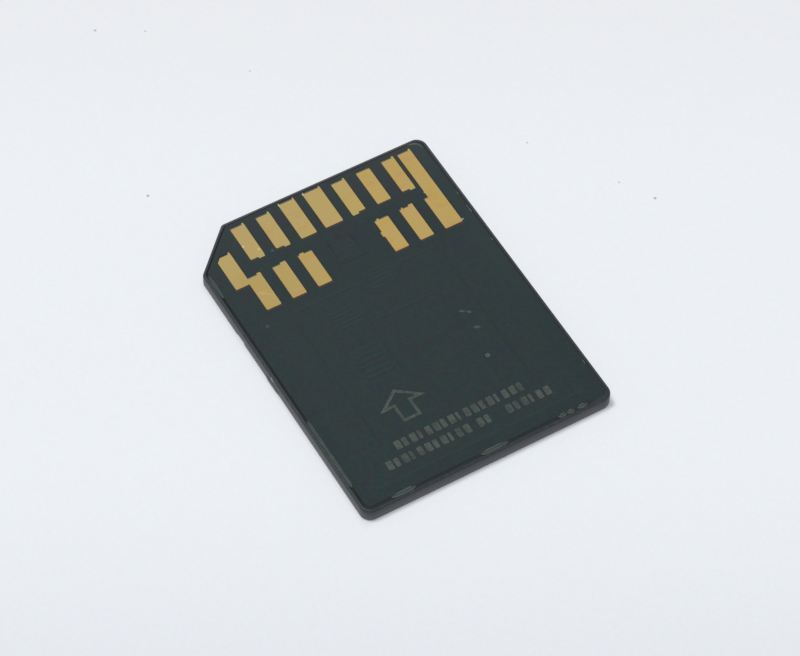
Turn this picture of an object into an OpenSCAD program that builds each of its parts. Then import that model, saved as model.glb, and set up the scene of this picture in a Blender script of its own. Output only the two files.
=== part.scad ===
// A contact-type memory card, lying with its contacts up.
// The origin is at the middle of its underside. +Y is the edge that goes in first, and +Z is up.

/* [Card] */
// Width of the card
card_w = 24; // [23.5:0.5:30]
// Length of the card, along the way that it goes in
card_l = 32; // [31:0.5:40]
// Thickness of the card
card_t = 1.4; // [1.35:0.05:2.1]
// Length of the cut corner along each side
corner_cut = 4; // [3:0.25:5]
// Radius of the three plain corners
corner_r = 1; // [0.6:0.1:2]
// Radius at the two ends of the cut corner
cut_r = 0.5; // [0.2:0.05:1]

/* [Shell] */
// Rounding of the outer edges
edge_r = 0.18; // [0.1:0.02:0.24]
// Width of the rim round the board
rim_w = 0.27; // [0.25:0.01:0.4]
// Width of the ledge that carries the edge of the board
ledge_w = 1; // [0.8:0.05:1.2]
// Thickness of the shell from its underside to the pocket's floor
shell_floor = 0.3; // [0.25:0.05:0.5]
// Depth of the board's face below the top of the rim
board_recess = 0.06; // [0.02:0.01:0.1]
// Length of the gate mark on the left wall
gate_l = 2.5; // [1:0.1:4]
// How far the gate mark stands out
gate_out = 0.06; // [0.02:0.01:0.1]
// Length of the nick in the left wall
nick_l = 1.6; // [0.5:0.1:3]
// Depth of the nick
nick_in = 0.1; // [0.04:0.01:0.15]
// Height of the gate mark and the nick above the underside
mark_h = 0.5; // [0.3:0.05:0.7]

/* [Label] */
// Margin from the card's edge to the label's recess
label_margin = 0.8; // [0.5:0.1:2]
// Depth of the label's recess
label_recess = 0.1; // [0.06:0.01:0.15]
// Thickness of the label
label_t = 0.08; // [0.04:0.01:0.1]
// Gap round the label in its recess
label_gap = 0.1; // [0.05:0.01:0.2]

/* [Board] */
// Gap between the rim and the board
board_gap = 0.18; // [0.17:0.01:0.25]
// How far the board sits off centre across the card
board_off_x = 0.02; // [0:0.01:0.05]
// How far the board sits off centre, towards the leading edge
board_off_y = 0.15; // [0:0.01:0.15]
// Thickness of the laminate
laminate_t = 0.2; // [0.15:0.01:0.3]
// Thickness of the copper on the contact side
copper_t = 0.035; // [0.02:0.005:0.07]
// Thickness of the mask over copper
mask_over_copper = 0.02; // [0.01:0.005:0.03]
// Thickness of the copper and mask on the chip side
inner_layer_t = 0.035; // [0.02:0.005:0.05]
// How far the raised mask reaches past the edge of the copper
mask_flow = 0.05; // [0.03:0.01:0.06]

/* [Contacts] */
// Thickness of a plated contact
contact_t = 0.04; // [0.03:0.005:0.05]
// Distance between the middles of two contacts in a row
pitch = 2.5; // [2.4:0.01:2.55]
// Middle of the first contact of the front row
front_first_x = -6.93; // [-7.1:0.01:-6.8]
// Middle of the group of three on the left of the back row
back_left_x = -5.75; // [-5.9:0.01:-5.6]
// Middle of the group of three on the right of the back row
back_right_x = 6.85; // [6.7:0.01:7]
// Width of a plain contact
contact_w = 1.34; // [1.1:0.02:1.5]
// Width of the third contact
third_w = 1.52; // [1.3:0.02:1.7]
// Width of the fourth contact
fourth_w = 1.73; // [1.4:0.02:1.8]
// Width of the seventh contact
seventh_w = 1.24; // [1:0.02:1.3]
// Distance from the leading edge to the front row
front_setback = 0.88; // [0.7:0.02:1.1]
// Length of a front contact
front_l = 3.72; // [3.4:0.02:3.9]
// How much further the two wide contacts reach towards the leading edge
wide_reach = 0.3; // [0.1:0.02:0.34]
// Distance from the leading edge to the back row
back_setback = 6.25; // [6.15:0.02:6.6]
// Length of a back contact
back_l = 3.68; // [3.2:0.02:4]
// Rounding of the contacts' corners
contact_r = 0.1; // [0.04:0.02:0.2]
// Distance from the leading edge to the top of the upper left contact
corner_setback = 3.11; // [2.8:0.02:3.4]
// Length of the upper left contact
corner_contact_l = 3.69; // [3.3:0.02:3.8]
// Gap between a contact's side and the mask
opening_side = 0.06; // [0.04:0.01:0.08]
// Gap between a contact's end and the mask
opening_end = 0.18; // [0.1:0.01:0.22]

/* [Traces] */
// Width of a trace
trace_w = 0.2; // [0.14:0.01:0.26]
// Width of the gaps etched in the copper planes
etch_w = 0.22; // [0.18:0.01:0.3]
// Diameter of a via
via_d = 0.2; // [0.12:0.01:0.25]
// Diameter of the land round a via
via_land_d = 0.44; // [0.35:0.01:0.5]
// Margin from the card's side to the copper plane
plane_margin = 1.8; // [1.6:0.1:3]
// Distance from the leading edge to the copper plane
plane_setback = 10.4; // [10.3:0.1:11]

/* [Chips] */
// Width of a memory chip
memory_w = 11.8; // [9:0.1:13]
// Distance from the trailing edge to the lower memory chip
memory_rear = 3.1; // [2.8:0.1:6]
// Distance from the leading edge to the lower memory chip
memory_setback = 12.3; // [12:0.1:16]
// Width of the controller chip
controller_w = 3; // [2:0.1:3.4]
// Length of the controller chip
controller_l = 3.6; // [3:0.1:4]
// Distance from the leading edge to the middle of the controller chip
controller_setback = 8; // [7.7:0.1:8.2]
// Thickness of a chip
chip_t = 0.15; // [0.1:0.01:0.16]
// Thickness of the film under a chip
film_t = 0.02; // [0.01:0.005:0.03]
// How far the upper memory chip is set back from the lower one
stack_step = 0.7; // [0.4:0.05:1]
// Thickness of a bond wire
wire_d = 0.03; // [0.02:0.005:0.04]
// Height of a bond wire's loop over its chip
loop_h = 0.1; // [0.06:0.01:0.12]
// Bond wires on each memory chip
memory_wires = 8; // [2:1:16]
// Bond wires on each side of the controller
controller_wires = 6; // [2:1:8]

/* [Components] */
// Length of a component
part_l = 1; // [0.8:0.05:1.2]
// Width of a component
part_w = 0.5; // [0.4:0.05:0.6]
// Height of a capacitor
capacitor_h = 0.45; // [0.3:0.05:0.5]
// Height of a resistor
resistor_h = 0.3; // [0.25:0.05:0.4]
// Length of a component's metal end
end_l = 0.25; // [0.15:0.05:0.3]
// Thickness of the solder under a component's end
solder_t = 0.02; // [0.01:0.005:0.03]

/* [Moulding] */
// Gap between the moulding and the pocket's wall
moulding_gap = 0.1; // [0.05:0.01:0.2]
// Thickness of the adhesive film under the moulding
adhesive_t = 0.03; // [0.02:0.01:0.06]

/* [Marking] */
// Thickness of the print
ink_t = 0.012; // [0.005:0.001:0.02]
// Width of the printed lines
ink_w = 0.28; // [0.16:0.02:0.4]
// Height of a printed bar
bar_h = 0.9; // [0.5:0.05:1.1]

/* [Hidden] */
corner_steps = 6;
edge_steps = 3;
cut_through = 0.5;

// Half sizes, and the leading and trailing edges
side = card_w / 2;
front = card_l / 2;
back = -card_l / 2;

// Heights of the layers, from the rim down
board_top = card_t - board_recess;
laminate_top = board_top - mask_over_copper - copper_t;
laminate_bottom = laminate_top - laminate_t;
ledge_z = laminate_bottom - inner_layer_t;
moulding_z = shell_floor + adhesive_t;
lower_film_z = ledge_z - film_t;
lower_chip_z = lower_film_z - chip_t;
upper_film_z = lower_chip_z - film_t;
upper_chip_z = upper_film_z - chip_t;

// How far in the main outlines lie
board_inset = rim_w + board_gap;
pocket_inset = rim_w + ledge_w;
moulding_inset = pocket_inset + moulding_gap;
least_r = 0.15;

// Points round an arc, anticlockwise
function arc(centre, r, from, to, steps = corner_steps) =
    [for (i = [0 : steps])
        let (a = from + (to - from) * i / steps) centre + r * [cos(a), sin(a)]];

// The card's outline moved in by a distance, with its corner cut at the front left
function card_outline(inset) =
    let (
        r = max(corner_r - inset, least_r),
        q = max(cut_r - inset, least_r),
        a = inset + r,
        b = inset + q,
        slant = b * (sqrt(2) - 1)
    )
    concat(
        arc([side - a, back + a], r, -90, 0),
        arc([side - a, front - a], r, 0, 90),
        arc([-side + corner_cut + slant, front - b], q, 90, 135),
        arc([-side + b, front - corner_cut - slant], q, 135, 180),
        arc([-side + a, back + a], r, 180, 270)
    );

// A box's outline with round corners
function round_box(x0, y0, x1, y1, r, steps = 3) =
    concat(
        arc([x1 - r, y0 + r], r, -90, 0, steps),
        arc([x1 - r, y1 - r], r, 0, 90, steps),
        arc([x0 + r, y1 - r], r, 90, 180, steps),
        arc([x0 + r, y0 + r], r, 180, 270, steps)
    );

// A path drawn as a line of one width, with mitred corners
function unit(v) = v / norm(v);
function across(v) = [-v[1], v[0]];
function way_in(p, i) = unit(p[max(i, 1)] - p[max(i, 1) - 1]);
function way_out(p, i) = unit(p[min(i + 1, len(p) - 1)] - p[min(i, len(p) - 2)]);
function edge_side(p, i) =
    let (m = unit(across(way_in(p, i)) + across(way_out(p, i)))) m / (m * across(way_in(p, i)));
function stroke(p, width) =
    concat(
        [for (i = [0 : len(p) - 1]) p[i] + edge_side(p, i) * width / 2],
        [for (i = [len(p) - 1 : -1 : 0]) p[i] - edge_side(p, i) * width / 2]
    );

// A path whose corners are rounded over a distance
function bend(a, b, c, s) = a * (1 - s) * (1 - s) + 2 * b * s * (1 - s) + c * s * s;
function soften(p, t) =
    concat(
        [p[0]],
        [for (i = [1 : len(p) - 2])
            for (s = [0 : 0.25 : 1])
                bend(p[i] - way_in(p, i) * t, p[i], p[i] + way_out(p, i) * t, s)],
        [p[len(p) - 1]]
    );

module sheet(points, z, t) {
    translate([0, 0, z]) linear_extrude(t) polygon(points);
}

// A solid through rings of points: each ring is a height and an inset of the card's outline
module loft(rings) {
    outlines = [for (r = rings) card_outline(r[1])];
    n = len(outlines[0]);
    last = len(rings) - 1;
    points = [for (k = [0 : last]) for (p = outlines[k]) [p[0], p[1], rings[k][0]]];
    walls = [for (k = [0 : last - 1]) for (i = [0 : n - 1])
        [k * n + i, (k + 1) * n + i, (k + 1) * n + (i + 1) % n, k * n + (i + 1) % n]];
    floor_face = [for (i = [0 : n - 1]) i];
    roof_face = [for (i = [n - 1 : -1 : 0]) last * n + i];
    polyhedron(points = points, faces = concat([floor_face], walls, [roof_face]));
}

// The shell's outer form, with its edges rounded
module shell_block() {
    low = [for (i = [0 : edge_steps])
        let (a = 90 * i / edge_steps) [edge_r * (1 - cos(a)), edge_r * (1 - sin(a))]];
    high = [for (i = [edge_steps : -1 : 0]) [card_t - low[i][0], low[i][1]]];
    loft(concat(low, high));
}

// The gate mark on the left wall, and the nick further forward
gate_y = -0.25;
nick_y = 5.3;
module gate_mark() {
    points = soften([
        [-side, gate_y - gate_l / 2], [-side - gate_out, gate_y - gate_l / 4],
        [-side - gate_out, gate_y + gate_l / 4], [-side, gate_y + gate_l / 2]
    ], gate_out);
    sheet(concat(points, [[-side + edge_r, gate_y]]), edge_r, mark_h - edge_r);
}
module nick() {
    points = soften([
        [-side, nick_y - nick_l / 2], [-side + nick_in, nick_y - nick_l / 4],
        [-side + nick_in, nick_y + nick_l / 4], [-side, nick_y + nick_l / 2]
    ], nick_in);
    sheet(concat(points, [[-side - cut_through, nick_y]]), -cut_through, mark_h + cut_through);
}

module shell() {
    color("#3c3d42") difference() {
        union() {
            shell_block();
            gate_mark();
        }
        sheet(card_outline(rim_w), ledge_z, card_t);
        sheet(card_outline(pocket_inset), shell_floor, card_t);
        sheet(card_outline(label_margin), -cut_through, label_recess + cut_through);
        nick();
    }
}

module label() {
    color("#d9d9d4") sheet(card_outline(label_margin + label_gap), label_recess - label_t, label_t);
}

module shell_adhesive() {
    color("#c9b98a") sheet(card_outline(moulding_inset), shell_floor, adhesive_t);
}

// The contacts, each a list of plates given as a middle, a width, a lower end and an upper end
front_y1 = front - front_setback;
front_y0 = front_y1 - front_l;
wide_drop = 0.15;
wide_y1 = front_y1 + wide_reach;
wide_y0 = front_y0 - wide_drop;
sixth_drop = 0.12;
back_y1 = front - back_setback;
back_y0 = back_y1 - back_l;
corner_y1 = front - corner_setback;
corner_y0 = corner_y1 - corner_contact_l;
long_x = 9.75;
long_w = 1.3;
long_foot_x = back_right_x + pitch - contact_w / 2;
long_side_x = long_x + long_w / 2;
corner_x = -9.53;
corner_w = 1.4;
corner_foot_more = 0.06;
bump_w = 0.3;
bump_from = 1.86;
bump_to = 2.42;
function front_x(k) = front_first_x + k * pitch;
function plates(n) =
    n <= 2 || n == 5 ? [[front_x(n - 1), contact_w, front_y0, front_y1]] :
    n == 3 ? [[front_x(2), third_w, wide_y0, wide_y1]] :
    n == 4 ? [[front_x(3), fourth_w, wide_y0, wide_y1]] :
    n == 6 ? [[front_x(5), contact_w, front_y0 - sixth_drop, front_y1]] :
    n == 7 ? [[front_x(6), seventh_w, front_y0, front_y1]] :
    n == 8 ? [[long_x, long_w, back_y0, front_y1],
              [(long_foot_x + long_side_x) / 2, long_side_x - long_foot_x, back_y0, back_y1]] :
    n == 9 ? [[corner_x, corner_w, corner_y0, corner_y1],
              [back_left_x - pitch, contact_w + corner_foot_more, back_y0, back_y1]] :
    n <= 11 ? [[back_left_x + (n - 10) * pitch, contact_w, back_y0, back_y1]] :
    n == 12 ? [[back_right_x - pitch, contact_w, back_y0, back_y1],
               [back_right_x - pitch - contact_w / 2, bump_w, back_y0 + bump_from, back_y0 + bump_to]] :
    [[back_right_x, contact_w, back_y0, back_y1]];

// Where copper leaves each contact under the mask: a plate, how far along its width, a width and an end
tab_lists = [
    [[0, 0.93, 0.16, 1], [0, 0.76, 0.56, -1]],
    [[0, 0.93, 0.16, 1], [0, 0.76, 0.56, -1]],
    [[0, 0.04, 0.1, 1], [0, 0.96, 0.1, 1]],
    [[0, 0.04, 0.1, 1], [0, 0.96, 0.1, 1]],
    [[0, 0.93, 0.16, 1], [0, 0.24, 0.58, -1]],
    [],
    [[0, 0.93, 0.16, 1], [0, 0.78, 0.5, -1]],
    [[0, 0.93, 0.16, 1]],
    [[0, 0.93, 0.16, 1], [1, 0.88, 0.34, 1]],
    [[0, 0.8, 0.5, 1]],
    [[0, 0.3, 0.4, 1]],
    [[0, 0.26, 0.14, 1]],
    [[0, 0.22, 0.12, 1], [0, 0.85, 0.4, 1]]
];
contacts = len(tab_lists);
function tabs(n) = tab_lists[n - 1];

// Each contact's via, measured from the middle of the card's leading edge. A trace runs to it under the
// mask, except that the third, fourth and sixth contacts have theirs right under them.
via_points = [
    [-6.5, -5.5], [-4.05, -5.5], [-1.93, -3.2], [0.57, -3.2], [2.7, -5.5], [5.57, -3.2],
    [7.75, -5.5], [8.42, -5.95], [-7.28, -5.72], [-5.3, -5.72], [-3.25, -5.3],
    [3.95, -5.72], [6.75, -5.75]
];
function via_of(n) = [0, front] + via_points[n - 1];

// The trace from a contact to its via: out under the mask in a straight line, and then across
stub_l = 0.14;
long_trace_y = -5.58;
function via_in_contact(n) = n == 3 || n == 4 || n == 6;
function trace_path(n) =
    n == 8 ? [
        [long_x, front + long_trace_y],
        [long_x - long_w / 2 - opening_side - stub_l, front + long_trace_y],
        via_of(8)
    ] :
    let (
        t = tabs(n)[n == 10 || n == 11 || n == 12 ? 0 : 1],
        p = plates(n)[t[0]],
        up = t[3],
        x = p[0] + (t[1] - 0.5) * p[1],
        y = up > 0 ? p[3] : p[2]
    )
    [[x, y - up * contact_r], [x, y + up * (opening_end + stub_l)], via_of(n)];

module board_outline() {
    translate([board_off_x, board_off_y]) polygon(card_outline(board_inset));
}
module plate(p, more_side, more_end) {
    polygon(round_box(
        p[0] - p[1] / 2 - more_side, p[2] - more_end,
        p[0] + p[1] / 2 + more_side, p[3] + more_end, contact_r
    ));
}

// The upper left contact is cut along the card's corner
corner_margin = 0.9;
module plates_of(n, more_side, more_end) {
    intersection() {
        polygon(card_outline((n == 9 ? corner_margin : board_inset / 2) - more_side));
        union() for (p = plates(n)) plate(p, more_side, more_end);
    }
}
module contact_opening(n) plates_of(n, opening_side, opening_end);

// The copper that leaves a contact: short tabs under the mask, and the trace to the via
lean = 0.06;
module tab(p, t, grow) {
    x = p[0] + (t[1] - 0.5) * p[1];
    y = t[3] > 0 ? p[3] : p[2];
    reach = opening_end + stub_l + grow;
    half = t[2] / 2;
    polygon([
        [x - half - lean - grow, y - t[3] * contact_r], [x + half + grow, y - t[3] * contact_r],
        [x + half + grow, y + t[3] * reach], [x - half + lean / 2 - grow, y + t[3] * reach]
    ]);
}
module leads(n, grow) {
    for (t = tabs(n)) tab(plates(n)[t[0]], t, grow);
    if (!via_in_contact(n)) {
        polygon(stroke(trace_path(n), trace_w + 2 * grow));
        translate(via_of(n)) circle(d = via_land_d + 2 * grow, $fn = 24);
    }
}
module contact_shape(n) {
    plates_of(n, 0, 0);
    if (len(tabs(n)) > 0) intersection() {
        board_outline();
        contact_opening(n);
        leads(n, 0);
    }
}
module contact(n) {
    color("#bda35f") translate([0, 0, laminate_top]) linear_extrude(contact_t) contact_shape(n);
}

// The copper planes, and the gaps etched in them, measured from the middle of the leading edge
plane_r = 0.6;
etch_bend = 0.35;
etched_paths = [
    soften([[-7.35, -26], [-7.35, -11.35], [-1.25, -11.35], [0.25, -12.5], [2.25, -12.5],
            [3.5, -11.15], [7.1, -11.15], [7.1, -26]], etch_bend),
    soften([[-2, -20.5], [-2, -15.4], [4.7, -15.4], [4.7, -26]], etch_bend),
    [[-3.6, -15.7], [-3.6, -17]]
];
// Each comb: left end, right end, first line, step and number of lines
combs = [[0.2, 2.3, -10.75, -0.43, 4], [-4.8, -2.4, -13.1, -0.43, 5], [-5, -2.6, -17.5, -0.58, 6]];
comb_paths = [for (c = combs) for (k = [0 : c[4] - 1])
    [[c[0], c[2] + k * c[3]], [c[1], c[2] + k * c[3]]]];
function shorter(p, grow) =
    [for (i = [0 : len(p) - 1])
        i == 0 ? p[0] + way_out(p, 0) * grow :
        i == len(p) - 1 ? p[i] - way_in(p, i) * grow : p[i]];

module planes(grow) {
    x = side - plane_margin + grow;
    difference() {
        polygon(round_box(-x, back + plane_margin - grow, x, front - plane_setback + grow, plane_r));
        translate([0, front])
            for (p = concat(etched_paths, comb_paths))
                polygon(stroke(shorter(p, grow), etch_w - 2 * grow));
    }
}

// The ground patch between the two groups of the back row
patch = [-1.1, -8.95, 1.2, -6.25];
patch_lines = [0.5, 1.4];
patch_line_in = 0.3;
module ground_patch(grow) {
    translate([0, front]) difference() {
        polygon(round_box(
            patch[0] - grow, patch[1] - grow, patch[2] + grow, patch[3] + grow, contact_r
        ));
        for (up = patch_lines) {
            line = [
                [patch[0] + patch_line_in, patch[1] + up], [patch[2] - patch_line_in, patch[1] + up]
            ];
            polygon(stroke(shorter(line, grow), etch_w - 2 * grow));
        }
    }
}
module contact_copper(grow) {
    planes(grow);
    ground_patch(grow);
    for (n = [1 : contacts]) leads(n, grow);
}
module openings() {
    for (n = [1 : contacts]) contact_opening(n);
}

module contact_side_copper() {
    color("#a86f3c") translate([0, 0, laminate_top]) linear_extrude(copper_t) difference() {
        intersection() {
            board_outline();
            contact_copper(0);
        }
        openings();
    }
}

module contact_side_mask() {
    color("#323d3f") translate([0, 0, laminate_top]) difference() {
        union() {
            linear_extrude(copper_t) board_outline();
            linear_extrude(copper_t + mask_over_copper) intersection() {
                board_outline();
                contact_copper(mask_flow);
            }
        }
        linear_extrude(copper_t) contact_copper(0);
        translate([0, 0, -cut_through]) linear_extrude(card_t) openings();
    }
}

module via_places() {
    for (n = [1 : contacts]) translate(via_of(n)) children();
}
module substrate() {
    color("#2c3a34") translate([0, 0, laminate_bottom]) linear_extrude(laminate_t) difference() {
        board_outline();
        via_places() circle(d = via_d, $fn = 24);
    }
}
module vias() {
    color("#b07840") translate([0, 0, laminate_bottom]) linear_extrude(laminate_t)
        via_places() circle(d = via_d, $fn = 24);
}

// Places of the chips, from the ends of the card
memory_x = -0.1;
memory_y0 = back + memory_rear;
memory_l = front - memory_setback - memory_y0;
controller_y = front - controller_setback;
finger_l = 0.5;
finger_w = 0.18;
finger_reach = 0.7;
pad_in = 0.25;
memory_wire_step = 1;
controller_wire_step = 0.42;
function wire_x(i) = memory_x + (i - (memory_wires - 1) / 2) * memory_wire_step;
function controller_wire_y(i) = controller_y + (i - (controller_wires - 1) / 2) * controller_wire_step;
upper_wire_off = memory_wire_step / 2;
finger_y = memory_y0 - finger_reach;
controller_finger_x = controller_w / 2 + finger_reach;

// Places of the components, from the middle of the leading edge, and each one's height
component_places = [[-7.5, -7.6], [-5.5, -7.6], [5.2, -7.6], [7.2, -7.6], [-6.5, -9.4], [6.2, -9.4]];
capacitors = 4;
function component_h(k) = k < capacitors ? capacitor_h : resistor_h;
end_x = (part_l - end_l) / 2;

module flat_box(x, y, w, l) {
    translate([x - w / 2, y - l / 2]) square([w, l]);
}
module component_lands() {
    for (p = component_places) for (s = [-1, 1])
        flat_box(p[0] + s * end_x, front + p[1], end_l, part_w);
}
module bond_fingers() {
    for (i = [0 : memory_wires - 1]) {
        flat_box(wire_x(i), finger_y, finger_w, finger_l);
        flat_box(wire_x(i) + upper_wire_off, finger_y, finger_w, finger_l);
    }
    for (i = [0 : controller_wires - 1]) for (s = [-1, 1])
        flat_box(s * controller_finger_x, controller_wire_y(i), finger_l, finger_w);
}
module inner_copper_shape() {
    bond_fingers();
    component_lands();
    via_places() circle(d = via_land_d, $fn = 24);
}
module die_side_copper() {
    color("#a86f3c") translate([0, 0, ledge_z]) linear_extrude(inner_layer_t) inner_copper_shape();
}
module die_side_mask() {
    color("#2c4638") translate([0, 0, ledge_z]) linear_extrude(inner_layer_t) difference() {
        board_outline();
        inner_copper_shape();
    }
}

module memory_slab(z, t, step) {
    translate([memory_x - memory_w / 2, memory_y0 + step, z]) cube([memory_w, memory_l, t]);
}
module controller_slab(z, t) {
    translate([-controller_w / 2, controller_y - controller_l / 2, z])
        cube([controller_w, controller_l, t]);
}
module lower_die_film() color("#d8cfa8") memory_slab(lower_film_z, film_t, 0);
module nand_die_lower() color("#5b6068") memory_slab(lower_chip_z, chip_t, 0);
module upper_die_film() color("#d8cfa8") memory_slab(upper_film_z, film_t, stack_step);
module nand_die_upper() color("#5b6068") memory_slab(upper_chip_z, chip_t, stack_step);
module controller_film() color("#d8cfa8") controller_slab(lower_film_z, film_t);
module controller_die() color("#666a70") controller_slab(lower_chip_z, chip_t);

// A bond wire that starts on a chip's face at a point and ends on a finger, at a run and an angle
foot = 0.12;
crest = 0.3;
module wire(x, y, z, run, angle) {
    drop = z - ledge_z;
    path = [
        [0, 0], [0, loop_h], [run * crest, loop_h],
        [run - foot, drop / 3], [run, drop + foot / 2], [run, drop]
    ];
    translate([x, y, z]) rotate([0, 0, angle]) rotate([-90, 0, 0])
        linear_extrude(wire_d, center = true) polygon(stroke(path, wire_d));
}
memory_run = pad_in + finger_reach;
module lower_bond_wires() {
    color("#d9b65a") for (i = [0 : memory_wires - 1])
        wire(wire_x(i), memory_y0 + pad_in, lower_chip_z, memory_run, -90);
}
module upper_bond_wires() {
    color("#d9b65a") for (i = [0 : memory_wires - 1])
        wire(wire_x(i) + upper_wire_off, memory_y0 + stack_step + pad_in, upper_chip_z,
             memory_run + stack_step, -90);
}
module controller_bond_wires() {
    color("#d9b65a") for (i = [0 : controller_wires - 1]) for (s = [-1, 1])
        wire(s * (controller_w / 2 - pad_in), controller_wire_y(i), lower_chip_z,
             memory_run, s > 0 ? 0 : 180);
}

component_z = ledge_z - solder_t;
module component_body(k) {
    p = component_places[k];
    translate([p[0] - part_l / 2 + end_l, front + p[1] - part_w / 2, component_z - component_h(k)])
        cube([part_l - 2 * end_l, part_w, component_h(k)]);
}
module capacitor(k) color("#8c7a5e") component_body(k - 1);
module resistor(k) color("#26282b") component_body(capacitors + k - 1);
module component_ends() {
    color("#b9bcc0") for (k = [0 : len(component_places) - 1]) for (s = [-1, 1]) {
        p = component_places[k];
        translate([0, 0, component_z - component_h(k)]) linear_extrude(component_h(k))
            flat_box(p[0] + s * end_x, front + p[1], end_l, part_w);
    }
}
module solder_joints() {
    color("#9fa3a8") translate([0, 0, component_z]) linear_extrude(solder_t) component_lands();
}

// The moulding, with a space of exactly the right form round each thing that it holds
module mould_cap() {
    color("#1d1e20") difference() {
        sheet(card_outline(moulding_inset), moulding_z, ledge_z - moulding_z);
        memory_slab(lower_chip_z, chip_t + film_t, 0);
        memory_slab(upper_chip_z, chip_t + film_t, stack_step);
        controller_slab(lower_chip_z, chip_t + film_t);
        lower_bond_wires();
        upper_bond_wires();
        controller_bond_wires();
        component_ends();
        solder_joints();
        for (k = [0 : len(component_places) - 1]) component_body(k);
    }
}

// Beads of cured adhesive in the groove, from the ledge to just under the rim
bead_recess = 0.04;
bead_top = card_t - bead_recess;
bottom_beads = [[-9.25, -6.97], [-0.73, 1.89], [6.8, 7.57], [7.65, 8.38], [8.64, 9.63]];
left_beads = [[-7, -4.3], [-29.05, -21.5]];
right_beads = [[-7.4, -6.9], [-9.55, -8.55], [-13.05, -12.75], [-28, -27.5]];
module edge_adhesive() {
    left_w = board_gap + board_off_x;
    right_w = board_gap - board_off_x;
    bottom_w = board_gap + board_off_y;
    color("#56635c") translate([0, 0, ledge_z]) linear_extrude(bead_top - ledge_z) {
        for (b = bottom_beads) translate([b[0], back + rim_w]) square([b[1] - b[0], bottom_w]);
        for (b = left_beads) translate([-side + rim_w, front + b[0]]) square([left_w, b[1] - b[0]]);
        for (b = right_beads)
            translate([side - rim_w - right_w, front + b[0]]) square([right_w, b[1] - b[0]]);
    }
}

// The print, measured from the trailing edge: an arrow towards the leading edge, and two rows of blocks
arrow_x = -3.8;
arrow_y = 6.4;
arrow_w = 4.4;
arrow_l = 3.3;
row_1_y = 4.25;
row_2_y = 2.8;
bar_gap = 0.24;
row_1 = [[-6.5, 17]];
row_2 = [[-8.1, 11], [0.6, 2], [3.4, 6]];
bar_widths = [0.56, 0.42, 0.56, 0.3, 0.5];
bar_step = bar_widths[4] + bar_gap;
module arrow_shape() {
    w = arrow_w / 2;
    stem = arrow_w / 5;
    polygon([
        [-stem, 0], [stem, 0], [stem, arrow_l / 2], [w, arrow_l / 2],
        [0, arrow_l], [-w, arrow_l / 2], [-stem, arrow_l / 2]
    ]);
}
module bar_row(x, y, count) {
    for (k = [0 : count - 1]) {
        w = bar_widths[k % len(bar_widths)];
        polygon(round_box(x + k * bar_step, y, x + k * bar_step + w, y + bar_h, contact_r, 2));
    }
}
module marking_ink() {
    color("#5c6760") translate([0, back, board_top]) linear_extrude(ink_t) {
        translate([arrow_x, arrow_y]) difference() {
            arrow_shape();
            offset(delta = -ink_w) arrow_shape();
        }
        for (r = row_1) bar_row(r[0], row_1_y, r[1]);
        for (r = row_2) bar_row(r[0], row_2_y, r[1]);
    }
}

shell();
label();
shell_adhesive();
mould_cap();
substrate();
vias();
contact_side_copper();
contact_side_mask();
die_side_copper();
die_side_mask();
contact(1);  // contact_1
contact(2);  // contact_2
contact(3);  // contact_3
contact(4);  // contact_4
contact(5);  // contact_5
contact(6);  // contact_6
contact(7);  // contact_7
contact(8);  // contact_8
contact(9);  // contact_9
contact(10);  // contact_10
contact(11);  // contact_11
contact(12);  // contact_12
contact(13);  // contact_13
lower_die_film();
nand_die_lower();
upper_die_film();
nand_die_upper();
controller_film();
controller_die();
lower_bond_wires();
upper_bond_wires();
controller_bond_wires();
capacitor(1);  // capacitor_1
capacitor(2);  // capacitor_2
capacitor(3);  // capacitor_3
capacitor(4);  // capacitor_4
resistor(1);  // resistor_1
resistor(2);  // resistor_2
component_ends();
solder_joints();
edge_adhesive();
marking_ink();
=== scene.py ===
"""A contact-type memory card, lying contacts up on a pale table.

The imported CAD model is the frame. The tray and the solder mask get finer pieces, geometry nodes lay
the cured adhesive in the groove, and every other solid keeps its shape and gets a finish of its own.
"""

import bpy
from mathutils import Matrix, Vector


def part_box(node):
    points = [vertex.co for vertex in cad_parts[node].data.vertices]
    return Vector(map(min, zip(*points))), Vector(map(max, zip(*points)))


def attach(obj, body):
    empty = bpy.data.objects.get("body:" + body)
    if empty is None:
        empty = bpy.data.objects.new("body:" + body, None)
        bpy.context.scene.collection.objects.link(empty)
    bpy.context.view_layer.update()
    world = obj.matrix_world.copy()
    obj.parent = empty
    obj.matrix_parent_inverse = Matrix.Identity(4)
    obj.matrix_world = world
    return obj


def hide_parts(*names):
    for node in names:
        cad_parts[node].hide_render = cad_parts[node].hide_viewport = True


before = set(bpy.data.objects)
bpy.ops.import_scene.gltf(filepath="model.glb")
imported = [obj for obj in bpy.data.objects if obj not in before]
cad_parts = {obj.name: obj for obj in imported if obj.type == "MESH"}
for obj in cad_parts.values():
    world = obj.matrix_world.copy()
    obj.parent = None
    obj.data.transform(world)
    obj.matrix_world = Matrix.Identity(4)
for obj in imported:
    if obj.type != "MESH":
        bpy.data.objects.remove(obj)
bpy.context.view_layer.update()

import math

import bmesh
import bpy
from bpy.props import FloatProperty, FloatVectorProperty, IntProperty, PointerProperty
from mathutils import Matrix, Vector
from mathutils.bvhtree import BVHTree

bl_info = {
    "name": "Multimedia card",
    "version": (1, 0, 0),
    "blender": (4, 5, 0),
    "location": "3D View > Sidebar > Card",
    "description": "Dresses a packed memory card and lights it on a pale table",
    "category": "Object",
}

MM = 0.001
BODY = "root"

# The card's half width, half length and height, and the mask's two heights, in millimetres
SIDE, FRONT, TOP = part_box("shell")[1] / MM
MASK_FOOT, MASK_TOP = (corner.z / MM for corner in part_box("contact_side_mask"))


# Settings

def size(name, note, millimetres, **more):
    """A length in metres whose default is given in millimetres."""
    return FloatProperty(name=name, description=note, default=millimetres * MM, precision=6,
                         unit="LENGTH", **more)


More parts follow.
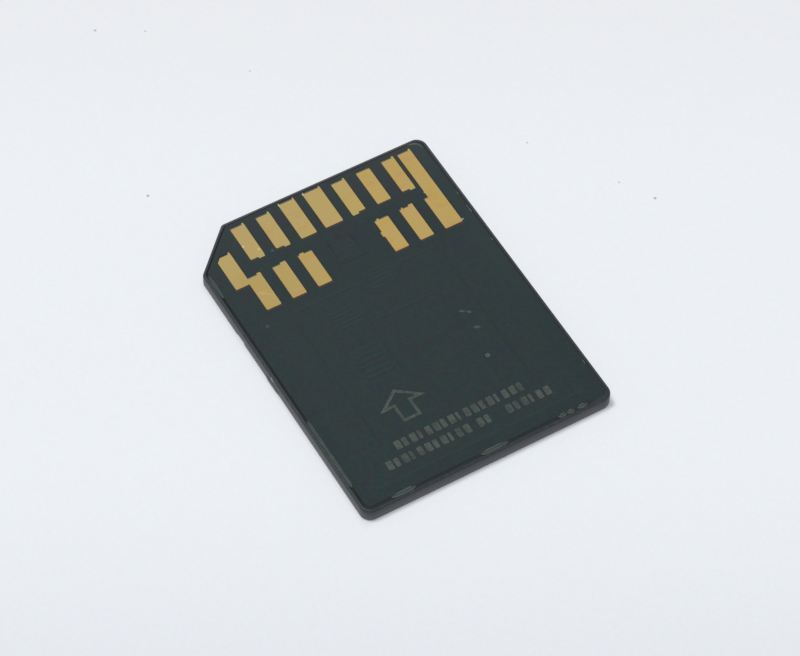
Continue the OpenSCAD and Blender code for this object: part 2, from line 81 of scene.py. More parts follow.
def colour(name, note, red, green, blue):
    """A linear colour."""
    return FloatVectorProperty(name=name, description=note, default=(red, green, blue), size=3,
                               min=0.0, max=1.0, subtype="COLOR")


def share(name, note, value, most=1.0):
    """A plain number from nothing to a limit."""
    return FloatProperty(name=name, description=note, default=value, min=0.0, max=most)


def triple(name, note, numbers, **more):
    """Three plain numbers, such as a place or a direction."""
    return FloatVectorProperty(name=name, description=note, default=numbers, size=3, precision=6,
                               **more)


class TraySettings(bpy.types.PropertyGroup):
    """The moulded tray: its outline, its section and its plastic."""

    width: size("Width", "Width of the card", 2 * SIDE)
    length: size("Length", "Length of the card", 2 * FRONT)
    thickness: size("Thickness", "Thickness of the card", TOP)
    corner_cut: size("Corner cut", "Length of the cut along each side", 4)
    corner_radius: size("Corner radius", "Radius of the three plain corners", 1)
    cut_radius: size("Cut radius", "Radius at the ends of the cut", 0.5)
    edge_radius: size("Edge radius", "Rounding of the outer edges", 0.18)
    lip_radius: size("Lip radius", "Rounding of the rim's inner edge", 0.08)
    rim: size("Rim", "Width of the rim round the board", 0.27)
    ledge: size("Ledge", "Width of the ledge under the board's edge", 1)
    floor_height: size("Floor height", "Height of the pocket's floor", 0.3)
    label_margin: size("Label margin", "Margin round the label's recess", 0.8)
    label_depth: size("Label depth", "Depth of the label's recess", 0.1)
    mark_height: size("Mark height", "Height of the gate mark and the nick", 0.5)
    gate_middle: size("Gate middle", "Place of the gate mark along the wall", -0.25)
    gate_length: size("Gate length", "Length of the gate mark", 2.5)
    gate_out: size("Gate height", "How far the gate mark stands out", 0.06)
    nick_middle: size("Nick middle", "Place of the nick along the wall", 5.3)
    nick_length: size("Nick length", "Length of the nick", 1.6)
    nick_depth: size("Nick depth", "Depth of the nick", 0.1)
    plastic: colour("Plastic", "Colour of the tray", 0.009, 0.016, 0.017)
    worn: colour("Worn plastic", "Colour of its rubbed edges", 0.05, 0.052, 0.055)
    # Colour of the painted reflection of the pale table at the walls' foot
    painted_foot_light: colour("Painted foot light", "Colour of its walls at their foot", 0.112, 0.104, 0.132)


class BoardSettings(bpy.types.PropertyGroup):
    """The board's face: solder mask over copper, and the laminate under it."""

    slope: size("Slope", "Run of the mask's slope at the copper's edge", 0.14)
    lift: size("Lift", "How far the low mask is raised over its CAD height", 0.01)
    mask: colour("Mask", "Colour of the solder mask", 0.0062, 0.0195, 0.0205)
    mask_over_copper: colour("Mask over copper", "Colour of the mask over copper",
                             0.0085, 0.0210, 0.0220)
    opening: colour("Opening", "Colour of the laminate round a contact", 0.040, 0.014, 0.009)
    laminate: colour("Laminate", "Colour of the glass-fibre laminate", 0.020, 0.028, 0.024)
    copper: colour("Copper", "Colour of the bare copper", 0.62, 0.31, 0.17)


class ContactSettings(bpy.types.PropertyGroup):
    """The gold-plated contacts."""

    gold: colour("Gold", "Colour of the plating", 0.485, 0.340, 0.110)
    dull_gold: colour("Dull gold", "Colour of the plating near the cut corner", 0.420, 0.310, 0.108)
    tarnish: colour("Tarnish", "Colour of the faint stains", 0.480, 0.285, 0.088)


class BeadSettings(bpy.types.PropertyGroup):
    """The beads of cured adhesive in the groove."""

    width: size("Width", "Width of the widest beads", 0.50)
    height: size("Height", "Height of their section", 0.17)
    taper: size("Taper", "Length of a bead's rounded ends", 0.8)
    dent: size("Dent", "Depth of the hollow along a bead", 0.035)
    unevenness: share("Unevenness", "How much a bead's width varies", 0.35)
    step: size("Step", "Distance between the rings of a bead", 0.06)
    spill: size("Spill", "How far a bead's middle lies from the rim", 0.24)
    seed: IntProperty(name="Seed", description="Seed of the unevenness", default=3, min=0)
    adhesive: colour("Adhesive", "Colour of the cured adhesive", 0.022, 0.036, 0.032)
    # Colour of the painted highlight along a bead's ridges
    ridge_highlight: colour("Ridge highlight", "Its colour along a bead's ridges", 0.064, 0.086, 0.074)


class GrooveSettings(bpy.types.PropertyGroup):
    """The thin fillet of adhesive that lines the groove between the rim and the board."""

    board_gap: size("Gap", "Gap between the rim and a centred board", 0.18)
    board_off_x: size("Offset across", "Offset of the board across the card", 0.02)
    board_off_y: size("Offset along", "Offset of the board along the card", 0.15)
    sunk: size("Depth", "Depth of the fillet's middle below the rim", 0.17)
    climb: size("Climb", "How far the fillet climbs at its sides", 0.10)
    lining: colour("Lining", "Colour of the fillet", 0.038, 0.042, 0.046)
    shadowed: colour("Shadowed lining", "Its colour along the left and the trailing edge",
                     0.015, 0.019, 0.021)


class PrintSettings(bpy.types.PropertyGroup):
    """The faint print on the mask."""

    ink: colour("Ink", "Colour of the print", 0.062, 0.075, 0.061)
    coverage: share("Coverage", "How much of the print is covered with ink", 0.82)


class LabelSettings(bpy.types.PropertyGroup):
    """The plain label on the underside."""

    paper: colour("Paper", "Colour of the label", 0.62, 0.62, 0.60)
    fibre: colour("Fibre", "Colour of the fibres in it", 0.52, 0.52, 0.50)


class StageSettings(bpy.types.PropertyGroup):
    """The table, the light and the camera."""

    table: colour("Table", "Colour of the table", 0.850, 0.878, 0.910)
    # Tones of the painted shade, standing in for the light's falloff, towards and away from the viewer;
    # the first also tints the mottling
    table_falloff_and_mottle: colour("Table shade", "Colour of the table towards the viewer", 0.760, 0.785, 0.828)
    table_far_falloff: colour("Table back", "Colour of the table away from the viewer", 0.820, 0.830, 0.862)
    table_near: share("Plain share at the card", "Share of the table that no shadow darkens", 0.1)
    table_far: share("Plain share further out", "The same share away from the card", 0.75)
    table_width: size("Table width", "Width of the table", 4000)
    sky: share("Sky", "Strength of the light from all round", 0.62, 2)
    backdrop: colour("Backdrop", "What is seen past the table", 0.83, 0.86, 0.90)
    lamp_width: size("Lamp width", "Width of the soft lamp", 200)
    lamp_place: triple("Lamp place", "Place of the soft lamp", (-0.195, 0.15, 0.71), unit="LENGTH")
    lamp_power: FloatProperty(name="Lamp power", description="Power of the soft lamp",
                              default=2.25, min=0.0, unit="POWER")
    camera_place: triple("Camera place", "Place of the camera", (-0.085839, -0.141289, 0.229987),
                         unit="LENGTH")
    camera_right: triple("Camera right", "The way right in the view",
                         (0.86376413, -0.50366939, 0.01512193))
    camera_up: triple("Camera up", "The way up in the view", (0.401488, 0.70604345, 0.58336098))
    lens: FloatProperty(name="Lens", description="Focal length in millimetres", default=149.77,
                        min=1.0)


# Node trees

class Wire:
    """One output of a node. Python's operators on it add Math nodes to its tree."""

    def __init__(self, graph, socket):
        self.graph, self.socket = graph, socket

    def __add__(self, other):
        return self.graph.maths("ADD", self, other)

    def __sub__(self, other):
        return self.graph.maths("SUBTRACT", self, other)

    def __rsub__(self, other):
        return self.graph.maths("SUBTRACT", other, self)

    def __mul__(self, other):
        return self.graph.maths("MULTIPLY", self, other)

    def __truediv__(self, other):
        return self.graph.maths("DIVIDE", self, other)

    def __pow__(self, other):
        return self.graph.maths("POWER", self, other)

    __radd__, __rmul__ = __add__, __mul__


class Graph:
    """A node tree that is being built."""

    def __init__(self, tree):
        self.tree = tree

    def node(self, kind, settings=None, sockets=None, out=0):
        """Adds a node, sets it up, feeds its sockets, and returns one of its outputs."""
        made = self.tree.nodes.new(kind)
        for name, value in (settings or {}).items():
            setattr(made, name, value)
        for key, value in (sockets or {}).items():
            socket = self.find(made.inputs, key)
            if isinstance(value, Wire):
                self.tree.links.new(value.socket, socket)
            elif socket.type == "RGBA":
                socket.default_value = (*value, 1.0)
            else:
                socket.default_value = value
        return Wire(self, self.find(made.outputs, out))

    @staticmethod
    def find(sockets, key):
        """A socket by its number, its identifier or its name."""
        if isinstance(key, int):
            return sockets[key]
        named = [s for s in sockets if s.identifier == key] or [s for s in sockets if s.name == key]
        return named[0]

    def maths(self, operation, *values):
        """A Math node."""
        return self.node("ShaderNodeMath", {"operation": operation}, dict(enumerate(values)))

    def least(self, a, b):
        return self.maths("MINIMUM", a, b)

    def most(self, a, b):
        return self.maths("MAXIMUM", a, b)

    def vector(self, operation, *values, out="Vector"):
        """A Vector Math node."""
        return self.node("ShaderNodeVectorMath", {"operation": operation}, dict(enumerate(values)),
                         out)

    def scaled(self, vector, factor):
        """A vector times a number."""
        return self.node("ShaderNodeVectorMath", {"operation": "SCALE"},
                         {0: vector, "Scale": factor})

    def parts(self, vector):
        """The three numbers in a vector."""
        x = self.node("ShaderNodeSeparateXYZ", sockets={"Vector": vector}, out="X")
        others = x.socket.node.outputs
        return x, Wire(self, others["Y"]), Wire(self, others["Z"])

    def joined(self, x, y, z):
        """A vector from three numbers."""
        return self.node("ShaderNodeCombineXYZ", sockets={"X": x, "Y": y, "Z": z})

    def band(self, value, start, end):
        """0 up to the start, 1 from the end on, with a smooth rise between them."""
        return self.node("ShaderNodeMapRange", {"interpolation_type": "SMOOTHSTEP"},
                         {"Value": value, "From Min": start, "From Max": end})

    def grain(self, place, scale, detail=2.0, rough=0.5):
        """Noise from 0 to 1 at a place, with its scale in the place's units."""
        return self.node("ShaderNodeTexNoise", sockets={
            "Vector": place, "Scale": scale, "Detail": detail, "Roughness": rough,
        }, out="Fac")

    def mix(self, share, first, second):
        """One colour laid over another."""
        return self.node("ShaderNodeMix", {"data_type": "RGBA"},
                         {"Factor_Float": share, "A_Color": first, "B_Color": second},
                         "Result_Color")

    def seen(self):
        """1 for what the camera, a glossy face or a clear one sees, and 0 for light."""
        rays = self.node("ShaderNodeLightPath", out="Is Camera Ray")
        others = rays.socket.node.outputs
        for name in ("Is Glossy Ray", "Is Transmission Ray"):
            rays = self.most(rays, Wire(self, others[name]))
        return rays


class Finish(Graph):
    """A material that is being built on its Principled BSDF, with the colour it has so far."""

    def __init__(self, name, base, **uniform):
        self.material = bpy.data.materials.new(name)
        self.material.use_nodes = True
        super().__init__(self.material.node_tree)
        self.base = base
        self.shader = self.tree.nodes["Principled BSDF"]
        for socket, value in uniform.items():
            self.shader.inputs[socket.replace("_", " ")].default_value = value
        whole = self.node("ShaderNodeTexCoord", out="Object")
        self.place = self.scaled(whole, 1 / MM)
        self.x, self.y, self.z = self.parts(self.place)
        self.flat = self.vector("MULTIPLY", self.place, (1, 1, 0))

    def stretched(self, x, y, z, shift=0.0):
        """The place in millimetres, multiplied along each axis and moved."""
        return self.vector("MULTIPLY_ADD", self.place, (x, y, z), (shift, shift, shift))

    def noise(self, *settings):
        """Noise from 0 to 1 at the object's own place."""
        return self.grain(self.place, *settings)

    def coat(self, share, tone):
        """Lays a tone over the colour so far."""
        self.base = self.mix(share, self.base, tone)

    def cells(self, scale):
        """Distance to the nearest of scattered points."""
        return self.node("ShaderNodeTexVoronoi", sockets={"Vector": self.place, "Scale": scale},
                         out="Distance")

    def attribute(self, name):
        """The value of a mesh's own attribute."""
        return self.node("ShaderNodeAttribute", {"attribute_name": name}, out="Fac")

    def mottle(self, scale, warmth, green, light):
        """Gives the colour a soft, uneven cast, by so much in each of three directions."""
        first, second, third = (self.stretched(1, 1, 1, shift) for shift in (7, 19, 31))
        warm = (self.grain(first, scale, 4, 0.75) - 0.5) * warmth
        leaf = (self.grain(second, scale, 4, 0.75) - 0.5) * green
        fair = (self.grain(third, scale * 2.5, 4, 0.7) - 0.5) * light
        cast = self.joined(fair - leaf + warm, fair + leaf * 2, fair - leaf - warm)
        self.base = self.vector("ADD", self.base, cast)

    def spot(self, x, y, radius, soft):
        """1 in a round spot on the card, and 0 outside it."""
        distance = self.vector("DISTANCE", self.flat, (x, y, 0), out="Value")
        return 1 - self.band(distance, radius, radius + soft)

    def streak(self, x, y, length, turn):
        """1 in a soft, uneven, oblong fleck on the card, and 0 outside it."""
        c, s = math.cos(math.radians(turn)), math.sin(math.radians(turn))
        along = (self.x - x) * c + (self.y - y) * s
        across = (self.y - y) * c - (self.x - x) * s
        ragged = self.grain(self.flat, 5, 2) * 0.8 + 0.6
        distance = (along * along + across * across * 4) ** 0.5 * ragged
        return 1 - self.band(distance, length * 0.15, length)

    def ring(self, x, y, radius, width):
        """1 along a thin ring on the card."""
        distance = self.vector("DISTANCE", self.flat, (x, y, 0), out="Value")
        return 1 - self.band(self.maths("ABSOLUTE", distance - radius), width * 0.4, width)

    def scratch(self, start, end, width):
        """1 along a straight scratch on the card."""
        run = Vector((*end, 0)) - Vector((*start, 0))
        from_start = self.vector("SUBTRACT", self.flat, (*start, 0))
        along = self.vector("DOT_PRODUCT", from_start, tuple(run / run.length_squared), out="Value")
        along = self.node("ShaderNodeClamp", sockets={"Value": along})
        nearest = self.scaled(tuple(run), along)
        distance = self.vector("DISTANCE", from_start, nearest, out="Value")
        return 1 - self.band(distance, width * 0.3, width)

    def mark(self, marks):
        """Lays on round marks: the place, radius, soft edge, strength and tone of each."""
        for x, y, radius, soft, strength, tone in marks:
            self.coat(self.spot(x, y, radius, soft) * strength, tone)

    def done(self, roughness, height, strength, depth):
        """Feeds the shader the colour, a roughness and a relief with its depth in millimetres."""
        relief = self.node("ShaderNodeBump", sockets={
            "Strength": strength, "Distance": depth * MM, "Height": height,
        }, out="Normal")
        fed = {"Base Color": self.base, "Roughness": roughness, "Normal": relief}
        for name, value in fed.items():
            self.tree.links.new(value.socket, self.shader.inputs[name])
        return self.material


# Finishes. Places on the card are in millimetres, and tones are linear colours.

TRAY_CLOUD = (0.018, 0.028, 0.028)
# Painted sheen towards the card's leading end, and a painted highlight on its leading rim
TRAY_PAINTED_SHEEN = (0.034, 0.038, 0.040)
TRAY_FRONT_HIGHLIGHT = (0.062, 0.062, 0.062)
# A painted highlight: a thin pale ring on the gate mark, in the section of the left wall
GATE_HIGHLIGHT, GATE_HIGHLIGHT_RADIUS = (0.0, -0.28, 1.05), 0.15
GATE_HIGHLIGHT_TONE = (0.26, 0.29, 0.28)


def tray_plastic(tray):
    """Black plastic from a spark-eroded mould, paler along its rubbed edges, with painted light: a
    reflection of the table at the walls' foot, a sheen to the leading end and a highlight on the gate
    mark.
    """
    f = Finish("tray_plastic", tray.plastic, Specular_IOR_Level=0.4)
    fine = f.noise(14, 3)
    cloud = f.noise(0.5, 2)
    rubbed = f.attribute("wear") * f.band(f.noise(3.2, 4, 0.6), 0.42, 0.72)
    flow = f.grain(f.stretched(0.4, 0.05, 3), 2.5, 2)
    f.coat(rubbed * 0.6 + f.band(flow, 0.55, 0.9) * 0.12, tray.worn)
    f.coat(cloud * 0.2, TRAY_CLOUD)
    # Painted sheen towards the leading end, and a painted highlight on the leading rim and wall
    f.coat(f.band(f.y + f.x * 0.4, 3, 19) * 0.8, TRAY_PAINTED_SHEEN)
    f.coat(f.band(f.y, FRONT - 1, FRONT - 0.2) * 0.8, TRAY_FRONT_HIGHLIGHT)
    # Painted light: the walls are paler at their foot, a painted reflection of the pale table, a little
    # weaker on the trailing wall
    foot_light = (1 - f.band(f.z, 0.0, 1.5)) * f.band(f.z, 0.0, 0.12)
    dimmer_trailing_wall = f.band(f.y, 0.1 - FRONT, 0.03 - FRONT) * f.band(f.z, 0.3, 0.8)
    foot_light = foot_light * (1 - dimmer_trailing_wall * 0.25)
    f.coat(foot_light * (0.65 + cloud * 0.3), tray.painted_foot_light)
    section = f.vector("MULTIPLY", f.place, (0, 1, 1))
    # Painted highlight on the gate mark in the left wall
    gate_highlight = f.vector("DISTANCE", section, GATE_HIGHLIGHT, out="Value") - GATE_HIGHLIGHT_RADIUS
    gate_highlight = (1 - f.band(f.maths("ABSOLUTE", gate_highlight), 0.03, 0.11)) * f.band(f.x, 0.3 - SIDE, 0.15 - SIDE)
    f.coat(gate_highlight * f.band(f.noise(4, 1), 0.36, 0.50), GATE_HIGHLIGHT_TONE)
    rough = 0.40 + fine * 0.14 - rubbed * 0.08
    return f.done(rough, fine, 0.25, 0.006)


CORNER_ARC = (10.6, 14.75, 0.90, 0.10)
CORNER_TONE = (0.135, 0.155, 0.155)


def add_corner_arc(f):
    """Lays on a broken pale arc at the board's right leading corner."""
    patches = 0.35 + f.band(f.noise(2.1, 2), 0.46, 0.56) * 0.35
    ends = f.band(f.x + f.y, 25.9, 26.3) * f.band(f.y, 14.65, 15.1)
    f.coat(f.ring(*CORNER_ARC) * ends * patches, CORNER_TONE)


MASK_CLOUD = (0.0070, 0.0175, 0.0185)
MASK_GRAIN = (0.018, 0.032, 0.032)
MASK_SLOPE_HIGHLIGHT = (0.0160, 0.0310, 0.0320)
MASK_SLOPE_SHADE = (0.0020, 0.0110, 0.0120)
MASK_PAINTED_SHEEN = (0.030, 0.036, 0.037)
MASK_SIDE_SHEEN = (0.024, 0.044, 0.041)
# Flecks on the mask: a place, a length and a turn in degrees
MASK_FLECKS = [(5.36, -2.20, 0.36, -24), (5.85, -2.56, 0.36, -40), (5.63, -4.25, 0.42, -22)]
FLECK_TONE = (0.085, 0.135, 0.130)
MASK_RING = (4.9, -7.2, 0.13, 0.09)
RING_TONE = (0.22, 0.24, 0.24)
# Round marks on the mask; the first is a painted glint beside a contact's corner
MASK_MARKS = [
    (10.50, 6.26, 0.03, 0.09, 0.8, (0.60, 0.64, 0.66)),
    (-9.75, 4.55, 0.06, 0.18, 0.5, (0.11, 0.08, 0.065)),
    (-5.5, 11.4, 0.05, 0.14, 0.55, (0.14, 0.11, 0.12)),
]


def solder_mask(board):
    """Dark green-black mask with a soft orange peel, a few specks and the copper's tone under it, and
    painted light: a sheen to the leading end and the right side, light and shade on its slopes and a
    glint.
    """
    f = Finish("solder_mask", board.mask, Specular_IOR_Level=0.28)
    over_copper = f.band(f.z, MASK_TOP - 0.009, MASK_TOP - 0.001)
    f.coat(over_copper, board.mask_over_copper)
    cloud = f.noise(0.22, 3, 0.55)
    f.coat(cloud * 0.5, MASK_CLOUD)
    fine = f.noise(9, 3)
    f.coat(f.band(fine, 0.5, 0.85) * 0.3, MASK_GRAIN)
    f.mottle(1.6, 0.022, 0.0135, 0.020)
    # Painted highlight and painted shade on the mask's slopes, by the way each slope faces
    lean = f.attribute("lean")
    f.coat(f.band(lean, 0.5, 1.0) * 0.45, MASK_SLOPE_HIGHLIGHT)
    f.coat(f.band(lean, 0.5, 0.0) * 0.5, MASK_SLOPE_SHADE)
    flecks = f.streak(*MASK_FLECKS[0])
    for fleck in MASK_FLECKS[1:]:
        flecks = f.most(flecks, f.streak(*fleck))
    f.coat(flecks * 0.55, FLECK_TONE)
    f.coat(f.ring(*MASK_RING) * 0.36, RING_TONE)
    f.mark(MASK_MARKS)
    # Painted sheen towards the leading end and the right leading corner, and along the right side
    painted_sheen = f.band(f.y, -15, 14) * 0.16 + f.band(f.y, 9, 16) * (0.24 + f.band(f.x, -2, 11) * 0.24)
    f.coat(painted_sheen, MASK_PAINTED_SHEEN)
    f.coat(f.band(f.x, 9, 11.4) * f.band(f.y, -10, 2) * 0.2, MASK_SIDE_SHEEN)
    add_corner_arc(f)
    peel = f.noise(2.4, 2)
    rough = 0.36 + fine * 0.10 + cloud * 0.06
    return f.done(rough, peel * 0.7 + fine * 0.3, 0.3, 0.01)


GOLD_AHEAD = (0.455, 0.345, 0.138)
GOLD_GRAIN = (0.56, 0.42, 0.16)
GOLD_RUBBED = (0.57, 0.43, 0.18)
GOLD_SCRATCHED = (0.62, 0.34, 0.11)
# Scratches on the contacts: start, end, width, strength and tone
CONTACT_SCRATCHES = [
    ((-8.66, 7.96), (-7.74, 7.28), 0.14, 0.35, GOLD_SCRATCHED),
    ((-6.1, 6.9), (-5.2, 6.6), 0.10, 0.14, GOLD_SCRATCHED),
    ((-8.66, 8.08), (-8.1, 7.68), 0.05, 0.2, (0.72, 0.58, 0.34)),
]
YELLOW, GLINT = (0.90, 0.78, 0.30), (0.74, 0.84, 0.84)
CONTACT_MARKS = [
    (-7.5, 13.0, 0.03, 0.10, 0.6, YELLOW), (-6.45, 12.1, 0.03, 0.09, 0.6, YELLOW),
    (-2.66, 15.4, 0.02, 0.09, 0.4, GLINT), (-0.26, 15.4, 0.02, 0.09, 0.4, GLINT),
    (10.45, 6.28, 0.03, 0.09, 0.8, GLINT),
]


def contact_gold(contacts):
    """Matt gold plating with the fine lengthwise rub of a socket's springs, stains and scratches."""
    f = Finish("contact_gold", contacts.gold, Metallic=1.0)
    cloud = f.noise(0.55, 3, 0.6)
    f.coat(f.band(f.x + cloud * 6, 8, -6), contacts.dull_gold)
    f.coat(f.band(f.y, 9.6, 12) * f.band(f.x, 6, 1) * 0.6, GOLD_AHEAD)
    stain = f.band(f.grain(f.stretched(0.5, 0.9, 1, 4), 1.1, 3), 0.52, 0.74)
    f.coat(stain * 0.5, contacts.tarnish)
    foot = (1 - f.band(f.y, 6.1, 6.9)) * f.band(f.noise(0.9, 2), 0.35, 0.6)
    f.coat(foot * 0.5, contacts.tarnish)
    rub = f.grain(f.stretched(9, 0.6, 1, 2), 1.0, 3, 0.6)
    fine = f.noise(11, 3, 0.6)
    f.coat(f.band(fine, 0.52, 0.8) * 0.3, GOLD_GRAIN)
    f.coat(f.band(rub, 0.55, 0.8) * 0.15, GOLD_RUBBED)
    for start, end, width, strength, tone in CONTACT_SCRATCHES:
        f.coat(f.scratch(start, end, width) * strength, tone)
    f.mark(CONTACT_MARKS)
    rough = 0.40 + fine * 0.12 - f.band(rub, 0.5, 0.8) * 0.06
    return f.done(rough, fine * 0.5 + rub * 0.5, 0.35, 0.006)


BEAD_BESIDE = (0.085, 0.125, 0.115)


def bead_adhesive(beads):
    """Cured adhesive, a little glossy, with a painted highlight along its two ridges, and paler at the
    card's right side.
    """
    f = Finish("bead_adhesive", beads.adhesive, Specular_IOR_Level=0.35)
    side = f.attribute("side")
    fine = f.noise(5, 3)
    ridge = f.band(side, 0.15, 0.5) * (1 - f.band(side, 0.62, 0.9))
    patch = f.band(f.noise(1.3, 3, 0.6), 0.30, 0.62)
    # Painted highlight along the bead's two ridges
    ridge_highlight = ridge * (0.35 + patch * 0.65) + f.band(fine, 0.55, 0.8) * 0.1
    f.coat(ridge_highlight, beads.ridge_highlight)
    f.coat(f.band(f.x, SIDE - 1, SIDE - 0.7) * (0.3 + patch * 0.6), BEAD_BESIDE)
    return f.done(0.30 + fine * 0.2, fine, 0.3, 0.01)


LINING_DUST = (0.030, 0.036, 0.036)


def groove_lining(groove):
    """Cured adhesive deep in the groove, darker along the left and the trailing edge."""
    f = Finish("groove_lining", groove.shadowed, Specular_IOR_Level=0.25)
    fine = f.noise(6, 3)
    cloud = f.noise(0.8, 3)
    paler = f.most(f.band(f.x, 9, 11.5), f.band(f.y, 11, 13.5))
    f.coat(paler, groove.lining)
    f.coat(f.band(cloud * 0.6 + fine * 0.4, 0.4, 0.7) * 0.25, LINING_DUST)
    add_corner_arc(f)
    return f.done(0.45 + fine * 0.2, fine, 0.3, 0.01)


def marking_ink(marks, board):
    """Thin grey-beige ink that breaks up over the mask."""
    f = Finish("marking_ink", board.mask_over_copper, Specular_IOR_Level=0.4)
    broken = f.noise(7, 4, 0.65)
    spread = f.noise(1.1, 2)
    bare = 0.62 - 0.35 * marks.coverage
    shown = f.band(broken * 0.7 + spread * 0.3, bare, bare + 0.3)
    f.coat(shown, marks.ink)
    return f.done(0.5 + broken * 0.2, broken, 0.3, 0.006)


RESIN_GRAIN = (0.045, 0.052, 0.040)
OPENING_PAINTED_LIGHT = (0.064, 0.072, 0.074)


def laminate(board):
    """Glass-fibre weave in dark resin, with the tone of the openings on its upper face, paler as
    painted light at the contacts' ends.
    """
    f = Finish("laminate", board.laminate)
    warp, weft = (
        f.node("ShaderNodeTexWave", {"wave_type": "BANDS", "bands_direction": axis},
               {"Vector": f.place, "Scale": 1.2, "Distortion": 0.8}, "Fac")
        for axis in "XY")
    weave = warp * weft
    f.coat(weave * 0.5, RESIN_GRAIN)
    face = f.band(f.z, MASK_FOOT - 0.003, MASK_FOOT - 0.001)
    # Painted light: the laminate at the contacts' ends is paler, lifting the shade in the narrow gaps
    # there
    row_ends = f.most(f.band(f.y, 14.0, 14.4), f.band(f.y, 9.5, 9.7) * f.band(f.y, 10.6, 10.4))
    shown = f.mix(row_ends, board.opening, OPENING_PAINTED_LIGHT)
    f.coat(face * (0.8 + weave * 0.2), shown)
    return f.done(0.5 + weave * 0.2, weave, 0.3, 0.01)


def label_paper(label):
    """A plain film label with a faint fibre in it."""
    f = Finish("label_paper", label.paper)
    fibre = f.grain(f.stretched(0.5, 4, 1), 3, 4, 0.65)
    fine = f.noise(10, 3)
    cloud = f.noise(0.25, 2)
    f.coat(f.band(fibre, 0.45, 0.75) * 0.5 + cloud * 0.3, label.fibre)
    return f.done(0.48 + fine * 0.2, fibre, 0.25, 0.008)


def plated(name, first, second, scale, roughness):
    """Bare metal with crystals, soft stains and a fine grain."""
    f = Finish(name, first, Metallic=1.0)
    fine = f.noise(scale * 4, 3)
    f.coat(f.band(f.cells(scale), 0.2, 0.8) * 0.5 + fine * 0.3, second)
    return f.done(roughness + fine * 0.2, fine, 0.3, 0.004)


def speckled(name, first, second, scale, roughness):
    """A filled resin, ceramic or film: flecks of a second colour in the first."""
    f = Finish(name, first)
    flecks = 1 - f.band(f.cells(scale), 0.12, 0.4)
    cloud = f.noise(scale * 0.2, 3)
    f.coat(flecks * 0.5 + cloud * 0.25, second)
    fine = f.noise(scale * 2.5, 3)
    return f.done(roughness + fine * 0.15, fine, 0.3, 0.005)


BLOCKS, BLOCKS_TOO, BLOCK_GAPS = (0.16, 0.17, 0.20), (0.11, 0.13, 0.17), (0.24, 0.24, 0.26)
CHIP_LINES = (0.20, 0.19, 0.22)


def silicon():
    """A chip's face: rows of fine blocks under a thin film."""
    f = Finish("silicon", BLOCKS, Metallic=0.7)
    f.base = f.node("ShaderNodeTexBrick", {"offset": 0.0, "squash": 1.0}, {
        "Vector": f.place, "Color1": BLOCKS, "Color2": BLOCKS_TOO, "Mortar": BLOCK_GAPS,
        "Scale": 1.0, "Mortar Size": 0.03, "Brick Width": 1.4, "Row Height": 0.9,
    }, "Color")
    lines = f.grain(f.stretched(0.2, 12, 1), 2, 2)
    f.coat(lines * 0.4, CHIP_LINES)
    return f.done(0.22 + lines * 0.2, lines, 0.2, 0.002)


# The cut corner lies where y - x is more than this
CUT_LINE = 24
# Dark specks on the table: a place and a radius
TABLE_SPECKS = [(-11.6, 22.9, 0.10), (26.9, 0.75, 0.10), (-6.9, 42.1, 0.09), (20.4, 11.6, 0.06),
                (-3.0, 39.8, 0.06), (25.1, 3.8, 0.06), (3.0, 31.0, 0.06)]
SPECK_TONE = (0.33, 0.33, 0.34)


def table_paper(stage):
    """A pale, matt table with a faint mottling, and painted shade that darkens it towards and away from
    the viewer.
    """
    f = Finish("table_paper", stage.table, Specular_IOR_Level=0.2)
    cloud = f.noise(0.03, 3)
    fine = f.noise(1.5, 3)
    nearer = f.x * -0.49 + f.y * -0.87
    # Painted shade: the table darkens towards the viewer and away from the viewer
    f.coat(f.band(nearer, 12, 46), stage.table_falloff_and_mottle)
    f.coat(f.band(nearer, -14, -46), stage.table_far_falloff)
    f.coat(cloud * 0.1, stage.table_falloff_and_mottle)
    f.mottle(1.4, 0.045, 0.030, 0.070)
    f.mark([(x, y, radius * 0.4, radius * 1.6, 0.8, SPECK_TONE) for x, y, radius in TABLE_SPECKS])
    material = f.done(0.75 + fine * 0.15, fine, 0.1, 0.02)
    plain = f.node("ShaderNodeEmission", sockets={"Color": f.base, "Strength": 1.0})
    beside = f.most(f.maths("ABSOLUTE", f.x) - SIDE, f.maths("ABSOLUTE", f.y) - FRONT)
    beside = f.most(beside, (f.y - f.x - CUT_LINE) / math.sqrt(2))
    unshaded = stage.table_near + (stage.table_far - stage.table_near) * f.band(beside, -0.15, 0.45)
    whole = f.node("ShaderNodeMixShader", sockets={
        "Fac": f.seen() * unshaded, 1: Wire(f, f.shader.outputs["BSDF"]), 2: plain,
    })
    f.tree.links.new(whole.socket, f.tree.nodes["Material Output"].inputs["Surface"])
    return material


# Shapes

LEAST_RADIUS = 0.15 * MM
CORNER_STEPS = 10
SIDE_STEPS = (64, 40, 12, 120, 48)
EDGE_STEPS, GROOVE_STEPS, LIP_STEPS = 8, 6, 5
WELD = 1e-7
SHARP_ANGLE = math.radians(35)


def arc(centre, radius, start, end):
    """Points round an arc, with its angles in degrees."""
    turns = [math.radians(start + (end - start) * k / CORNER_STEPS) for k in range(CORNER_STEPS + 1)]
    return [Vector((centre[0] + radius * math.cos(t), centre[1] + radius * math.sin(t)))
            for t in turns]


